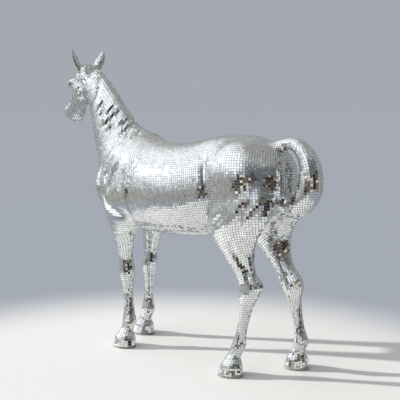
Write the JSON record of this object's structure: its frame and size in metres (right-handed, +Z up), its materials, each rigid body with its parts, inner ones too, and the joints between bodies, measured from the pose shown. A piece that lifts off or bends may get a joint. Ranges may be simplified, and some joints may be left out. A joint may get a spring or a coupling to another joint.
{
  "type": "mirrored horse statue",
  "caption": "Life-size standing horse statue covered in small mirror tiles, head turned to its right and tail arched over its back.",
  "frame": {"origin": "on the ground, under the middle of the statue's bounding box", "axes": "+Z up, the horse faces -X and its left side is -Y"},
  "size_m": [2.5188, 0.6218, 2.168],
  "materials": {
    "mirror_tiles": "small silvered glass tiles with pale grout"
  },
  "bodies": {
    "root": {"horse": "mirror_tiles"}
  },
  "joints": []
}
